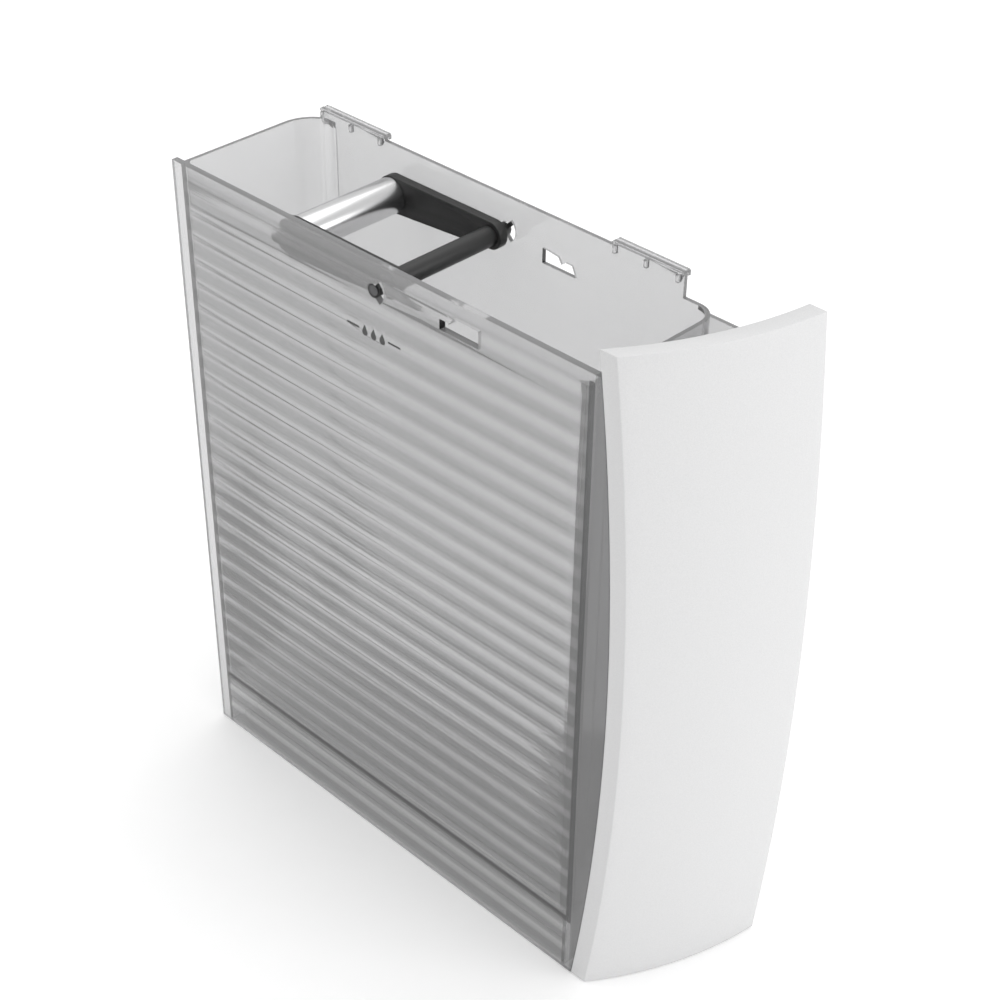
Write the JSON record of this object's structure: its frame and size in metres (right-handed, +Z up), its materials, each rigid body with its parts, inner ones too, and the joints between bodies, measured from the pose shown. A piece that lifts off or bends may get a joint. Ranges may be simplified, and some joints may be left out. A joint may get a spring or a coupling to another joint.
{
  "type": "dehumidifier water tank",
  "caption": "Clear ribbed water tank of a dehumidifier with a bowed silver front panel, a folding carrying handle and a sliding float.",
  "frame": {"origin": "centre of the footprint on the surface that the tank stands on", "axes": "+Z up, the front panel faces -Y, the ribbed side wall faces -X"},
  "size_m": [0.083, 0.3077, 0.342],
  "materials": {
    "clear_smoke": "clear smoke grey polystyrene",
    "mark_ink": "pad printed ink",
    "silver_paint": "pearl silver paint on plastic",
    "grey_plastic": "moulded",
    "screw_steel": "zinc plated",
    "black_plastic": "fine moulded grain",
    "satin_aluminium": "satin anodised",
    "rod_steel": "drawn",
    "guide_plastic": "moulded",
    "float_plastic": "moulded",
    "magnet_ferrite": "ground ferrite"
  },
  "bodies": {
    "tank": {"tank_body": "clear_smoke", "level_mark": "mark_ink", "front_panel": "silver_paint", "panel_backing": "grey_plastic", "panel_screws": "screw_steel", "float_guide": "guide_plastic", "float_stop": "guide_plastic"},
    "handle": {"handle_arm_left": "black_plastic", "handle_arm_right": "black_plastic", "grip_tube": "satin_aluminium", "grip_plug_left": "grey_plastic", "grip_plug_right": "grey_plastic", "grip_screws": "screw_steel", "pivot_rod": "rod_steel", "spacer_sleeve": "black_plastic", "rod_cap_left": "rod_steel", "rod_cap_right": "rod_steel"},
    "float": {"float_shell": "float_plastic", "float_lid": "float_plastic", "float_magnet": "magnet_ferrite", "magnet_cap": "float_plastic"}
  },
  "joints": [
    {"name": "handle_fold", "type": "hinge", "parent": "tank", "child": "handle", "pos_m": [0, 0.02185, 0.3162], "axis": [1, 0, 0], "range_deg": [0, 90]},
    {"name": "float_rise", "type": "slide", "parent": "tank", "child": "float", "axis": [0, 0, 1], "range_m": [0, 0.2065]}
  ]
}
